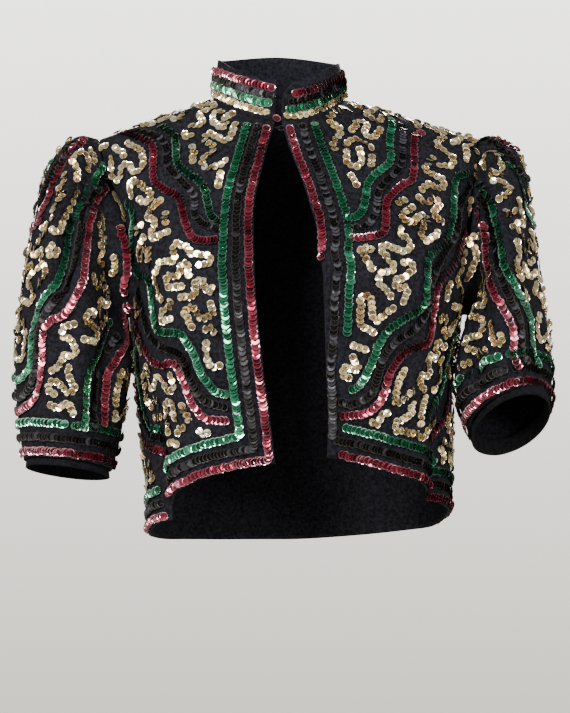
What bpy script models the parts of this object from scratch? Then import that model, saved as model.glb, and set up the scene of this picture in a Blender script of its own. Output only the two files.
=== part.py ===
"""A cropped evening jacket with a stand collar and short gathered sleeves, worn on a general figure.

Each cut piece is one object: two fronts, a back, a stand collar, two sleeves and their two turned
facings, with the wire hook and eye that close the neck. The cloth is a thin wall. The figure itself
is not there, so the neck, the hem, the armholes and the cuffs are open.

The origin is at the height where the shoulder seams meet the collar, on the figure's own axis.
+X is the wearer's left, -Y the front and +Z up. Sizes in the tables are millimetres.
"""

import math

import bmesh
import bpy
import numpy as np

MM = 0.001

# Cloth walls and the gaps at the seams
BODY_WALL = 1.5
SLEEVE_WALL = 1.3
FACING_WALL = 1.0
COLLAR_WALL = 1.6
SEAM_GAP = 0.3

# How finely each piece is divided
FRONT_COLUMNS = 15
BACK_COLUMNS = 36
LOWER_ROWS = 9
ARMHOLE_ROWS = 12
SHOULDER_ROWS = 4
COLLAR_COLUMNS = 34
COLLAR_ROWS = 3
HEAD_COLUMNS = 50
UNDERARM_COLUMNS = 14
SLEEVE_ROWS = 14

# Levels on the figure: 0 is the underarm, -1 is this far below it and 1 is the neckline
LOWER_REACH = 240.0

# The armhole is a loop on the figure, from the underarm to the shoulder tip
SHOULDER_TIP_LEVEL = 0.62
ARMHOLE_FRONT_ANGLE = 16.0
ARMHOLE_BACK_ANGLE = 23.0
UNDERARM_FORWARD = 12.0
ARMHOLE_INSET = (0.25, 0.002)

# The stand collar
COLLAR_LEAN = 5.0
COLLAR_END_ROUNDING = 17.0
COLLAR_END_DROP = 13.0

# The cloth sinks into the side seams, and the lower edge of the left front rolls under
SEAM_SINK = 9.0
SEAM_SPREAD = 4.5
ROLLED_STRIP = 10.0
ROLL_RADIUS = 3.2
ROLL_TURN = 2.5

# The gathers of a sleeve's head
GATHERS_ALL_ROUND = 18
GATHER_DEPTH = 3.0

# The facing turned out below each sleeve's hem
FACING_INSIDE = 9.0
FACING_BELOW = 7.0

# The hook and eye
WIRE_RADIUS = 0.35
HOOK_BELOW_NECKLINE = 5.0


def table(columns, rows):
    """A table's columns by name, each as an array."""
    return dict(zip(columns.split(), np.array(rows, float).T))


# The figure below the underarm, by height. power shapes its sections: 1 is an ellipse, less is boxier
LOWER_BODY = table(
    "height centre_x half_width front_depth back_depth power",
    [
        (-445, 15.0, 142, 108, 94, 0.84),
        (-360, 14.5, 144, 113, 92, 0.84),
        (-300, 12.0, 148, 118, 94, 0.84),
        (-250, 10.0, 151, 121, 99, 0.84),
        (-205, 11.0, 157, 121, 104, 0.84),
    ],
)

# The figure above the underarm: level 0 is at the underarm and level 1 is the neckline. The rings
# are as wide as chest_width over the chest and shoulder blades and as wide as half_width at the side,
# and the greater turn is, the nearer to the side a ring rises from its crown to its side height
UPPER_BODY = table(
    "level side front back centre_x half_width chest_width front_depth back_depth power turn",
    [
        (0.00, -205, -205, -205, 11, 157, 157, 121, 104, 0.84, 6),
        (0.20, -160, -176, -172, 14, 164, 161, 120, 107, 0.84, 6),
        (0.40, -112, -148, -138, 13, 171, 160, 113, 108, 0.84, 6),
        (0.62, -37, -114, -96, 5, 178, 149, 101, 103, 0.86, 6),
        (0.75, -28, -91, -64, 2, 146, 131, 91, 92, 0.90, 4),
        (0.88, -13, -60, -28, -1, 103, 101, 78, 74, 0.95, 3),
        (1.00, 0, -26, 8, -4, 63, 63, 64, 52, 1.00, 2),
    ],
)

# The hem's height round the body. The back hangs lower than the fronts where they are joined:
# level_with is the height at which its side would end if it were as short as they are
FRONT_HEM = table(
    "angle height level_with",
    [
        (-62, -380, -380),
        (-54, -380, -380),
        (-47, -367, -367),
        (-29, -351, -351),
        (-8, -341, -341),
        (8, -335, -335),
        (15, -338, -338),
        (32, -350, -350),
        (47, -359, -359),
        (54, -368, -368),
        (62, -368, -368),
    ],
)
BACK_HEM = table(
    "angle height level_with",
    [
        (52, -377, -368),
        (62, -378, -368),
        (90, -391, -376),
        (120, -409, -392),
        (180, -424, -406),
        (240, -421, -404),
        (270, -413, -398),
        (298, -396, -380),
        (308, -394, -380),
    ],
)

# The side seams, by level: they curve forward from the underarm and fall straight to the hem
SIDE_SEAM = table(
    "level angle",
    [
        (-0.90, 57.0),
        (-0.55, 57.0),
        (-0.30, 60.0),
        (-0.12, 69.0),
        (0.00, 78.0),
    ],
)

# The front edges: they meet at the neck and hang apart below it
FRONT_EDGES = table(
    "height right_x left_x",
    [
        (-24, -7.0, -1.6),
        (-44, -13.0, 2.8),
        (-78, -21.0, 17.0),
        (-103, -26.5, 24.0),
        (-127, -26.4, 31.0),
        (-184, -24.3, 36.5),
        (-242, -19.0, 38.5),
        (-305, -10.8, 41.0),
        (-345, -6.5, 39.5),
    ],
)

# The stand collar's height, from its left end round the back to its right end
COLLAR = table(
    "angle height",
    [
        (0, 38),
        (50, 36),
        (90, 34),
        (180, 38),
        (270, 38),
        (310, 37),
        (360, 40),
    ],
)

# Soft rises and hollows of the worn cloth. spread is in degrees, above and below in height
BODY_FOLDS = table(
    "angle height spread above below rise",
    [
        (-37, -172, 19, 52, 150, 8.0),
        (37, -172, 19, 52, 150, 8.0),
        (-18, -340, 6, 90, 60, -2.5),
        (-42, -365, 6, 80, 60, 4.0),
        (20, -330, 6, 110, 60, -2.5),
        (44, -355, 6, 90, 60, 4.0),
        (-125, -400, 11, 90, 60, 4.0),
        (-150, -410, 10, 110, 60, -4.0),
        (180, -400, 12, 120, 60, 3.5),
        (150, -410, 10, 100, 60, -4.0),
        (124, -400, 11, 90, 60, 4.0),
        (-72, -120, 8, 45, 60, -3.0),
        (72, -120, 8, 45, 60, -3.0),
    ],
)

# Each sleeve's rings after the armhole. outer is the ring's shoulder side and inner its underarm
# side, in the front view; lift raises the ring's front edge over its back edge
RIGHT_SLEEVE = table(
    "along outer_x outer_z inner_x inner_z centre_y front_depth back_depth lift",
    [
        (0.10, -191, -35, -156, -204, 0, 63, 62, 0),
        (0.20, -210, -47, -157, -213, -1, 70, 70, 0),
        (0.31, -224, -74, -154, -225, -3, 74, 74, 1),
        (0.42, -232, -108, -151, -240, -6, 75, 74, 2),
        (0.53, -241, -150, -150, -256, -9, 73, 72, 3),
        (0.64, -248, -198, -150, -276, -12, 69, 68, 4),
        (0.76, -253, -246, -151, -298, -15, 63, 61, 5),
        (0.86, -251, -287, -152, -317, -17, 57, 55, 6),
        (0.94, -248, -317, -156, -333, -18, 51, 49, 7),
        (1.00, -244, -341, -161, -350, -19, 46, 44, 8),
    ],
)
LEFT_SLEEVE = table(
    "along outer_x outer_z inner_x inner_z centre_y front_depth back_depth lift",
    [
        (0.10, 195, -35, 178, -204, 0, 63, 62, 0),
        (0.20, 214, -44, 178, -212, -1, 70, 70, 1),
        (0.31, 227, -62, 175, -221, -4, 74, 74, 3),
        (0.42, 233, -91, 171, -232, -8, 75, 74, 6),
        (0.53, 238, -128, 169, -244, -12, 73, 72, 9),
        (0.64, 243, -166, 167, -257, -17, 69, 68, 13),
        (0.76, 248, -205, 166, -271, -22, 63, 61, 17),
        (0.86, 252, -240, 167, -286, -26, 57, 55, 21),
        (0.94, 254, -268, 169, -300, -29, 51, 49, 25),
        (1.00, 252, -290, 174, -312, -31, 46, 44, 28),
    ],
)

# The large folds of the sleeves. An angle of 0 is the sleeve's outer side and 90 its front
SLEEVE_FOLDS = table(
    "top_angle low_angle start end spread rise",
    [
        (70, 84, 0.05, 0.62, 9, -9.0),
        (100, 108, 0.08, 0.70, 10, 5.0),
        (128, 134, 0.05, 0.85, 11, -8.0),
        (34, 52, 0.08, 0.80, 10, -5.0),
        (8, 22, 0.10, 0.60, 9, 4.0),
        (-28, -40, 0.06, 0.70, 10, -6.0),
        (-62, -78, 0.08, 0.75, 11, -7.0),
        (-100, -112, 0.06, 0.60, 10, 4.0),
        (-128, -134, 0.10, 0.80, 11, -6.0),
    ],
)


def smooth(at, places, values):
    """A smooth curve through a table's rows, level with its ends beyond them."""
    at = np.clip(np.asarray(at, float), places[0], places[-1])
    slopes = np.gradient(values, places)
    row = np.clip(np.searchsorted(places, at, side="right") - 1, 0, len(places) - 2)
    width = places[row + 1] - places[row]
    part = (at - places[row]) / width
    start, end = values[row], values[row + 1]
    bend_in, bend_out = slopes[row] * width, slopes[row + 1] * width
    return (
        start * (1 + 2 * part) * (1 - part) ** 2
        + bend_in * part * (1 - part) ** 2
        + end * part**2 * (3 - 2 * part)
        + bend_out * part**2 * (part - 1)
    )


def hill(distance, spread):
    """A rounded hill of height 1, falling to nothing at some twice its spread."""
    return np.exp(-0.5 * (distance / spread) ** 2)


def turned(angle, centre):
    """The angle from a centre direction, between -180 and 180."""
    return (np.asarray(angle, float) - centre + 180) % 360 - 180


def bare_form(angle, level):
    """A point on the figure, with no folds, at an angle from its centre front and at a level."""
    angle, level = np.broadcast_arrays(np.asarray(angle, float), np.asarray(level, float))
    sine, cosine = np.sin(np.radians(angle)), np.cos(np.radians(angle))
    low_height = UPPER_BODY["side"][0] + LOWER_REACH * np.minimum(level, 0)
    size = {}
    for name in ("centre_x", "half_width", "front_depth", "back_depth", "power"):
        low = smooth(low_height, LOWER_BODY["height"], LOWER_BODY[name])
        high = smooth(level, UPPER_BODY["level"], UPPER_BODY[name])
        size[name] = np.where(level < 0, low, high)
    chest_width = UPPER_BODY["chest_width"]
    side = smooth(level, UPPER_BODY["level"], UPPER_BODY["side"])
    front = smooth(level, UPPER_BODY["level"], UPPER_BODY["front"])
    back = smooth(level, UPPER_BODY["level"], UPPER_BODY["back"])
    crown = np.where(cosine > 0, front, back)
    chest = np.where(level < 0, size["half_width"], smooth(level, UPPER_BODY["level"], chest_width))
    at_side = np.abs(sine) ** smooth(level, UPPER_BODY["level"], UPPER_BODY["turn"])
    height = np.where(level < 0, low_height, crown + (side - crown) * at_side)
    depth = np.where(cosine > 0, size["front_depth"], size["back_depth"])
    width = chest + (size["half_width"] - chest) * at_side
    x = size["centre_x"] + width * np.sign(sine) * np.abs(sine) ** size["power"]
    y = -depth * np.sign(cosine) * np.abs(cosine) ** size["power"]
    return np.stack([x, y, height], axis=-1)


def surface_normal(surface, angle, level):
    """The direction out of a surface that is given by angle and level."""
    turn, rise = 0.4, 0.004
    level = np.minimum(level, 1 - 3 * rise)
    around = surface(angle + turn, level) - surface(angle - turn, level)
    up = surface(angle, level + rise) - surface(angle, level - rise)
    out = np.cross(around, up)
    return out / np.linalg.norm(out, axis=-1, keepdims=True)


def fold_rise(angle, height):
    """How far the worn cloth stands off the figure's form."""
    rise = np.zeros(np.shape(height))
    for row in range(len(BODY_FOLDS["angle"])):
        fold = {name: column[row] for name, column in BODY_FOLDS.items()}
        off = height - fold["height"]
        reach = np.where(off > 0, fold["above"], fold["below"])
        across = hill(turned(angle, fold["angle"]), fold["spread"])
        rise = rise + fold["rise"] * across * hill(off, reach)
    return rise


def side_seam(level):
    """How far round from the centre front the side seam is at a level."""
    return smooth(level, SIDE_SEAM["level"], SIDE_SEAM["angle"])


def seam_sink(angle, level):
    """The valley along a side seam, deepest at the hem and running out under the bust."""
    depth = SEAM_SINK * np.clip((-level - 0.12) / 0.45, 0, 1)
    across = np.exp(-np.abs(np.abs(turned(angle, 0)) - side_seam(level)) / SEAM_SPREAD)
    return -depth * across


def worn_form(angle, level):
    """A point on the outside of the body's cloth."""
    angle, level = np.broadcast_arrays(np.asarray(angle, float), np.asarray(level, float))
    bare = bare_form(angle, level)
    rise = fold_rise(angle, bare[..., 2]) + seam_sink(angle, level)
    return bare + surface_normal(bare_form, angle, level) * rise[..., None]


def body_point(angle, level, out=0.0):
    """A point at a distance out of the body's cloth."""
    angle, level = np.broadcast_arrays(np.asarray(angle, float), np.asarray(level, float))
    place = worn_form(angle, level)
    return place + surface_normal(worn_form, angle, level) * out if out else place


def armhole_turn(level):
    """How far round the armhole a level is: 0 at the shoulder tip and pi at the underarm."""
    middle = SHOULDER_TIP_LEVEL / 2
    return np.arccos(np.clip((level - middle) / middle, -1, 1))


def armhole_angle(turn, towards_front, inset=0.0):
    """The angle of the armhole's edge, from its shoulder tip down its front or its back."""
    lean = UNDERARM_FORWARD * (1 - np.cos(turn)) / 2
    width = np.where(towards_front > 0, ARMHOLE_FRONT_ANGLE, ARMHOLE_BACK_ANGLE) - inset
    return 90 - lean - towards_front * width * np.abs(np.sin(turn))


def outer_edge(level, towards_front):
    """Where a front or the back ends at each level: side seam, armhole, then shoulder seam."""
    half_gap = SEAM_GAP / 2 + 0.06
    power = smooth(level, UPPER_BODY["level"], UPPER_BODY["power"])
    depth = smooth(level, UPPER_BODY["level"], UPPER_BODY["front_depth"])
    shoulder_gap = np.degrees(np.arcsin((half_gap / depth) ** (1 / power)))
    side_gap = np.degrees(half_gap / 140)
    gap = np.where(level >= SHOULDER_TIP_LEVEL / 2, shoulder_gap, side_gap)
    hole = armhole_angle(armhole_turn(level), towards_front)
    edge = np.where(level > 0, hole, side_seam(level))
    joined = np.where(level > 0, 90 - UNDERARM_FORWARD * (level < SHOULDER_TIP_LEVEL / 2), edge)
    joined = joined - towards_front * gap
    beyond = (joined - edge) * towards_front < 0
    return np.where(beyond & (level > 0) | (level <= 0), joined, edge)


def edge_angle(level, side):
    """The angle of a front edge at each level, found from its place in the front view."""
    column = FRONT_EDGES["left_x" if side > 0 else "right_x"][::-1]
    angle = np.full(np.shape(level), 6.0 * side)
    for _ in range(12):
        place = bare_form(angle, level)
        wanted = smooth(place[..., 2], FRONT_EDGES["height"][::-1], column)
        angle = angle + np.degrees((wanted - place[..., 0]) / 120)
    return angle


def body_rows():
    """The rows of the body's pieces: shares below the underarm, then the levels above it."""
    low = np.linspace(-1, 0, LOWER_ROWS + 1)[:-1]
    turn = np.linspace(math.pi, 0, ARMHOLE_ROWS + 1)
    middle = SHOULDER_TIP_LEVEL / 2
    arm = middle + middle * np.cos(turn)
    high = np.linspace(SHOULDER_TIP_LEVEL, 1, SHOULDER_ROWS + 1)[1:]
    return np.concatenate([low, arm, high])


def hung_levels(rows, angles, hem):
    """The levels of a piece's rows. Those below the underarm share out the drop to its hem."""
    low = np.interp(angles, hem["angle"], hem["height"])
    joined = np.interp(angles, hem["angle"], hem["level_with"])
    end = UPPER_BODY["side"][0] - np.where(rows < -1, low, joined)
    return np.where(rows < 0, np.maximum(rows, -1) * end / LOWER_REACH, rows)


def settled(rows, hem, place, start):
    """An edge's angle at each row of a piece, where its level depends on the hem at that angle."""
    angles = np.full(rows.shape, start)
    for _ in range(6):
        angles = place(hung_levels(rows, angles, hem))
    return angles


def roll_share(heights):
    """How much the left front's edge rolls under at each height."""
    share = np.clip((-122 - heights) / 75, 0, 1)
    return share**2 * (3 - 2 * share)


def roll_under(skin, out, along, share, wall):
    """Turns a front's edge strip under, about the line of its third column."""
    strip = np.array([ROLLED_STRIP, ROLLED_STRIP * 0.5])
    for row in np.flatnonzero(share > 0.02):
        radius = ROLL_RADIUS / share[row]
        turn = np.minimum(strip / radius, ROLL_TURN)
        rest = strip - turn * radius
        for column in (0, 1):
            sine, cosine = math.sin(turn[column]), math.cos(turn[column])
            swing = (along[row] * sine - out[row] * (1 - cosine)) * (radius - wall)
            tail = (along[row] * cosine - out[row] * sine) * rest[column]
            skin[row, column] = skin[row, 2] + swing + tail


def front_skins(side):
    """The outside and inside of one front, in rows from the hem to the neckline and shoulder."""
    rows = body_rows()
    edge = settled(rows, FRONT_HEM, lambda level: edge_angle(level, side), 6.0 * side)
    seam = settled(rows, FRONT_HEM, lambda level: side * outer_edge(level, 1), 58.0 * side)
    heights = bare_form(edge, hung_levels(rows, edge, FRONT_HEM))[:, 2]
    share = roll_share(heights) if side > 0 else np.zeros(len(rows))
    radius = ROLL_RADIUS / np.maximum(share, 0.02)
    turn = np.minimum(ROLLED_STRIP / radius, math.pi / 2)
    reach = np.where(share > 0.02, radius * np.sin(turn), ROLLED_STRIP)
    across = bare_form(edge + 0.5, rows) - bare_form(edge - 0.5, rows)
    starts = edge + side * reach / np.linalg.norm(across, axis=1)
    strip = edge[:, None] + (starts - edge)[:, None] * np.array([0, 0.5])[None, :]
    across = 1 - (1 - np.linspace(0, 1, FRONT_COLUMNS + 1)[None, :]) ** 1.25
    angles = np.concatenate([strip, starts[:, None] + (seam - starts)[:, None] * across], axis=1)
    levels = hung_levels(rows[:, None], angles, FRONT_HEM)
    outside = body_point(angles, levels)
    inside = body_point(angles, levels, -BODY_WALL)
    if side > 0:
        out = surface_normal(worn_form, starts, levels[:, 2])
        along = outside[:, 2] - outside[:, 3]
        along = along - (along * out).sum(axis=1, keepdims=True) * out
        along = along / np.linalg.norm(along, axis=1, keepdims=True)
        roll_under(outside, out, along, share, 0.0)
        roll_under(inside, out, along, share, BODY_WALL)
        return outside, inside
    return outside[:, ::-1], inside[:, ::-1]


def back_skins():
    """The outside and inside of the back, from the left side seam round to the right one."""
    rows = np.concatenate([[-2.0], body_rows()])
    left = settled(rows, BACK_HEM, lambda level: outer_edge(level, -1), 58.0)[:, None]
    right = settled(rows, BACK_HEM, lambda level: 360 - outer_edge(level, -1), 302.0)[:, None]
    even = np.linspace(0, 1, BACK_COLUMNS + 1)[None, :]
    share = 0.55 * even + 0.45 * (1 - np.cos(math.pi * even)) / 2
    angles = left + (right - left) * share
    levels = hung_levels(rows[:, None], angles, BACK_HEM)
    return body_point(angles, levels), body_point(angles, levels, -BODY_WALL)


def collar_grid():
    """The points of the stand collar, from its left end round the back to its right end."""
    ends = edge_angle(np.array([1.0]), 1)[0], edge_angle(np.array([1.0]), -1)[0]
    angles = np.linspace(ends[0], 360 + ends[1], COLLAR_COLUMNS + 1)
    base = bare_form(angles, 1.0)
    inward = base - np.array([-4.0, 6.0, 0.0])
    inward[:, 2] = 0
    inward = -inward / np.linalg.norm(inward, axis=1, keepdims=True)
    from_left_end = np.radians(angles - ends[0]) * 62
    rounding = np.clip(1 - from_left_end / COLLAR_END_ROUNDING, 0, 1)
    height = np.interp(angles, COLLAR["angle"], COLLAR["height"])
    height = height - COLLAR_END_DROP * (1 - np.sqrt(1 - rounding**2))
    rows = []
    for share in np.linspace(0, 1, COLLAR_ROWS + 1):
        lean = COLLAR_LEAN * share**1.3
        up = SEAM_GAP + 0.1 + height * share
        rows.append(base + inward * lean + np.array([0, 0, 1.0]) * up[:, None])
    return np.stack(rows)


def sleeve_angles():
    """The angles round a sleeve: closer together over the gathered head than under the arm."""
    head = np.linspace(-110, 110, HEAD_COLUMNS + 1)[:-1]
    under = np.linspace(110, 250, UNDERARM_COLUMNS + 1)[:-1]
    return np.concatenate([head, under])


def armhole_loop(side, angles):
    """The sleeve's own edge in the armhole: 0 at the shoulder tip, 90 at the front, 180 underarm."""
    step = 180 / ARMHOLE_ROWS
    corners = np.radians(np.arange(2 * ARMHOLE_ROWS + 1) * step)
    middle = SHOULDER_TIP_LEVEL / 2
    level = middle + (middle - ARMHOLE_INSET[1]) * np.cos(corners)
    around = armhole_angle(corners, np.where(corners < math.pi, 1, -1), ARMHOLE_INSET[0])
    loop = body_point(side * around, level)
    place = np.mod(angles, 360) / step
    return np.stack([np.interp(place, np.arange(len(loop)), loop[:, axis]) for axis in range(3)], 1)


def sleeve_folds(angles, along):
    """How far a sleeve's cloth stands off its smooth rings: gathers at the head, then large folds."""
    rise = np.zeros((len(along), len(angles)))
    wave = np.cos(np.radians(GATHERS_ALL_ROUND * angles) + 0.6 * np.sin(np.radians(3 * angles)))
    head = np.clip((np.cos(np.radians(angles)) + 0.35) / 0.5, 0, 1)
    fade = np.clip(along / 0.07, 0, 1) * np.clip((0.5 - along) / 0.38, 0, 1)
    rise += GATHER_DEPTH * fade[:, None] * (wave * head)[None, :]
    for row in range(len(SLEEVE_FOLDS["start"])):
        fold = {name: column[row] for name, column in SLEEVE_FOLDS.items()}
        centre = fold["top_angle"] + (fold["low_angle"] - fold["top_angle"]) * along
        inside = np.clip((along - fold["start"]) / 0.12, 0, 1)
        inside = inside * np.clip((fold["end"] - along) / 0.30, 0, 1)
        across = hill(turned(angles[None, :], centre[:, None]), fold["spread"])
        rise += fold["rise"] * inside[:, None] * across
    return rise


def ring_points(rings, along, angles):
    """The smooth rings of a sleeve, with no folds, at each place along it."""
    size = {name: smooth(along, rings["along"], column) for name, column in rings.items()}
    middle_x = (size["outer_x"] + size["inner_x"]) / 2
    middle_z = (size["outer_z"] + size["inner_z"]) / 2
    reach_x = (size["outer_x"] - size["inner_x"]) / 2
    reach_z = (size["outer_z"] - size["inner_z"]) / 2
    sine, cosine = np.sin(np.radians(angles)), np.cos(np.radians(angles))
    depth = np.where(sine > 0, size["front_depth"][:, None], size["back_depth"][:, None])
    x = middle_x[:, None] + reach_x[:, None] * cosine
    y = size["centre_y"][:, None] - depth * sine
    z = middle_z[:, None] + reach_z[:, None] * cosine + size["lift"][:, None] * sine
    return np.stack([x, y, z], axis=-1)


def sleeve_grid(side, along, angles):
    """The points of a sleeve: from the armhole loop, over the gathered head, down to the cuff."""
    rings = LEFT_SLEEVE if side > 0 else RIGHT_SLEEVE
    first = rings["along"][0]
    loop = armhole_loop(side, angles)
    smooth_rings = ring_points(rings, np.maximum(along, first), angles)
    head = ring_points(rings, np.array([first]), angles)[0]
    share = np.clip(along / first, 0, 1)[:, None, None]
    joined = loop[None] + (head - loop)[None] * share
    grid = np.where(along[:, None, None] < first, joined, smooth_rings)
    centres = grid.mean(axis=1, keepdims=True)
    out = grid - centres
    out = out / np.linalg.norm(out, axis=-1, keepdims=True)
    return grid + out * sleeve_folds(angles, along)[..., None]


def sleeve_rows():
    """The places along a sleeve of its rows, closer together at its head."""
    return np.linspace(0, 1, SLEEVE_ROWS + 1) ** 1.15


def facing_grid(side, angles):
    """The points of a sleeve's turned facing, inside its hem and hanging a little below it."""
    last = sleeve_grid(side, np.array([0.97, 1.0]), angles)
    centre = last[1].mean(axis=0)
    down = last[1].mean(axis=0) - last[0].mean(axis=0)
    down = down / np.linalg.norm(down)
    inward = centre - last[1]
    inward = inward - (inward @ down)[:, None] * down
    inward = inward / np.linalg.norm(inward, axis=1, keepdims=True)
    edge = last[1] + inward * (SLEEVE_WALL + SEAM_GAP + 0.5)
    flare = {-FACING_INSIDE: -1.4, 0.0: 0.0, FACING_BELOW: 0.6}
    return np.stack([edge + down * drop - inward * out for drop, out in flare.items()])


def clear_scene():
    for obj in list(bpy.data.objects):
        bpy.data.objects.remove(obj, do_unlink=True)


def make_material(name, colour, roughness, metallic=0.0):
    material = bpy.data.materials.new(name)
    material.use_nodes = True
    shader = material.node_tree.nodes["Principled BSDF"]
    shader.inputs["Base Color"].default_value = (*colour, 1.0)
    shader.inputs["Roughness"].default_value = roughness
    shader.inputs["Metallic"].default_value = metallic
    return material


def loft(name, skins, material, collection, closed_ring=False):
    """A surface lofted through a grid's rows, or a closed wall lofted between two such grids."""
    rows, columns = skins[0].shape[:2]
    last = columns if closed_ring else columns - 1
    shape = bmesh.new()
    points = [[shape.verts.new(place * MM) for place in skin.reshape(-1, 3)] for skin in skins]
    for skin, verts in enumerate(points):
        for row in range(rows - 1):
            for column in range(last):
                beside = (column + 1) % columns
                corners = [(row, column), (row, beside), (row + 1, beside), (row + 1, column)]
                face = [verts[r * columns + c] for r, c in corners]
                shape.faces.new(face[::-1] if skin else face)
    if len(skins) > 1:
        top, side = (rows - 1) * columns, columns - 1
        rim = list(range(columns)) + [row * columns + side for row in range(1, rows)]
        rim += [top + column for column in range(columns - 2, -1, -1)]
        rim += [row * columns for row in range(rows - 2, 0, -1)]
        outside, inside = points
        for here, beyond in zip(rim, rim[1:] + rim[:1]):
            shape.faces.new([outside[beyond], outside[here], inside[here], inside[beyond]])
    mesh = bpy.data.meshes.new(name)
    shape.to_mesh(mesh)
    shape.free()
    mesh.shade_smooth()
    mesh.materials.append(material)
    piece = bpy.data.objects.new(name, mesh)
    collection.objects.link(piece)
    return piece


def walled(name, grid, wall, material, collection, closed_ring=False):
    """A cut piece made from its outer surface alone, given its thickness inwards."""
    piece = loft(name, [grid], material, collection, closed_ring)
    thickness = piece.modifiers.new("wall", "SOLIDIFY")
    thickness.thickness = wall * MM
    thickness.offset = -1
    thickness.use_even_offset = True
    thickness.thickness_clamp = 0
    return piece


def neck_inside(across, up, depth):
    """A place inside the closed neck, over the curve of the two fronts' inner faces."""
    level = np.interp(-HOOK_BELOW_NECKLINE + up, [-40, 0], [0.87, 1.0])
    middle = (edge_angle(np.array([level]), 1) + edge_angle(np.array([level]), -1))[0] / 2
    angle = middle + math.degrees(across / 64)
    return body_point(np.array([angle]), np.array([level]), -(BODY_WALL + depth))[0] * MM


def wire_piece(name, route, material, collection):
    """A bent wire through places given across the neck, up it and inside it."""
    curve = bpy.data.curves.new(name, "CURVE")
    curve.dimensions = "3D"
    curve.bevel_depth = WIRE_RADIUS * MM
    curve.bevel_resolution = 2
    curve.use_fill_caps = True
    line = curve.splines.new("POLY")
    line.points.add(len(route) - 1)
    for point, place in zip(line.points, route):
        point.co = (*neck_inside(*place), 1.0)
    curve.materials.append(material)
    piece = bpy.data.objects.new(name, curve)
    collection.objects.link(piece)
    return piece


def arc(centre, radius, start, end, steps):
    """Points on an arc of a circle, by angles in degrees."""
    turns = np.radians(np.linspace(start, end, steps + 1))
    return [(centre[0] + radius * math.cos(t), centre[1] + radius * math.sin(t)) for t in turns]


def hook_route():
    """The hook: a sewing ring, a shank across the gap and a bill bent back over it."""
    ring, shank_depth, bend = 1.5, 0.7, 1.0
    sewn = [(x, up, shank_depth) for x, up in arc((-10.5, 0.0), ring, 70, 320, 6)]
    shank = [(-7.5, 0.0, shank_depth), (-4.0, 0.0, shank_depth), (0.0, 0.0, shank_depth)]
    bill = [(x, 0.0, depth) for x, depth in arc((1.2, shank_depth + bend), bend, -70, 90, 6)]
    return sewn + shank + bill + [(-1.6, 0.0, shank_depth + 2 * bend + 0.1)]


def eye_route():
    """The eye: a loop that the hook's bill holds, with a sewing ring at each end."""
    sewn_depth, held_depth, half_width, ring = 0.7, 1.7, 2.2, 1.3
    lower = [(x, -up, sewn_depth) for x, up in arc((9.0, 3.4), ring, -20, 200, 5)]
    leg = [(5.5, -half_width, 1.0), (3.0, -half_width, held_depth)]
    loop = [(x, up, held_depth) for x, up in arc((2.4, 0.0), half_width, 250, 110, 6)]
    half = lower + leg
    mirrored = [(x, -up, depth) for x, up, depth in reversed(half)]
    return half + loop + mirrored


def main():
    clear_scene()
    jacket = bpy.data.collections.new("evening_jacket")
    bpy.context.scene.collection.children.link(jacket)
    crepe = make_material("black crepe", (0.016, 0.015, 0.020), 0.85)
    facing = make_material("black facing crepe", (0.012, 0.012, 0.015), 0.75)
    wire = make_material("black japanned wire", (0.03, 0.03, 0.03), 0.35, 0.6)

    loft("front_right", front_skins(-1), crepe, jacket)
    loft("front_left", front_skins(1), crepe, jacket)
    loft("back", back_skins(), crepe, jacket)
    walled("collar", collar_grid(), COLLAR_WALL, crepe, jacket)
    angles = sleeve_angles()
    for side, name in ((-1, "right"), (1, "left")):
        sleeve = sleeve_grid(side, sleeve_rows(), angles)
        turned_facing = facing_grid(side, angles[::2])
        if side < 0:
            sleeve, turned_facing = sleeve[::-1], turned_facing[::-1]
        walled(f"sleeve_{name}", sleeve, SLEEVE_WALL, crepe, jacket, True)
        walled(f"cuff_facing_{name}", turned_facing, FACING_WALL, facing, jacket, True)
    wire_piece("neck_hook", hook_route(), wire, jacket)
    wire_piece("neck_eye", eye_route(), wire, jacket)


main()
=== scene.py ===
"""Looks of a cropped evening jacket: black crepe, sewn with pressed sequins in rows and strokes."""

import math

import bpy
import numpy as np
from mathutils import Matrix, Vector
from mathutils.bvhtree import BVHTree
from mathutils.kdtree import KDTree


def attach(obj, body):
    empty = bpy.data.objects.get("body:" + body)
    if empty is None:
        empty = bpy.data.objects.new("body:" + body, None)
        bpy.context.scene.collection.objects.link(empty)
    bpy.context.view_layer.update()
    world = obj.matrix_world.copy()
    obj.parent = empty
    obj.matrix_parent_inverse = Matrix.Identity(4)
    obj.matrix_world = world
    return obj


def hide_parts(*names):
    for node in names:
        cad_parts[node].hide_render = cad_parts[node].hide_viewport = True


MM = 0.001

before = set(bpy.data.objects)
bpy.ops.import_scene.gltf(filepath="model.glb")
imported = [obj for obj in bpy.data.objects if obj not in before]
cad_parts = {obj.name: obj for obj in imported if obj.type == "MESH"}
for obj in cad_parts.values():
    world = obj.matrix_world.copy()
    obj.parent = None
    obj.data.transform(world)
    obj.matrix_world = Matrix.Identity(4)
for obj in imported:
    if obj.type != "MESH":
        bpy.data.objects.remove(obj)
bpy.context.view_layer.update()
chance = np.random.default_rng(1938)

# The lines that the cloth hangs round: the wearer's trunk and upper arms
AXES = {
    "body": (Vector((15, 0, -445)) * MM, Vector((-4, 6, 60)) * MM),
    "sleeve_right": (Vector((-203, -19, -345)) * MM, Vector((-180, 0, -70)) * MM),
    "sleeve_left": (Vector((213, -31, -300)) * MM, Vector((198, 0, -70)) * MM),
}

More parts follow.
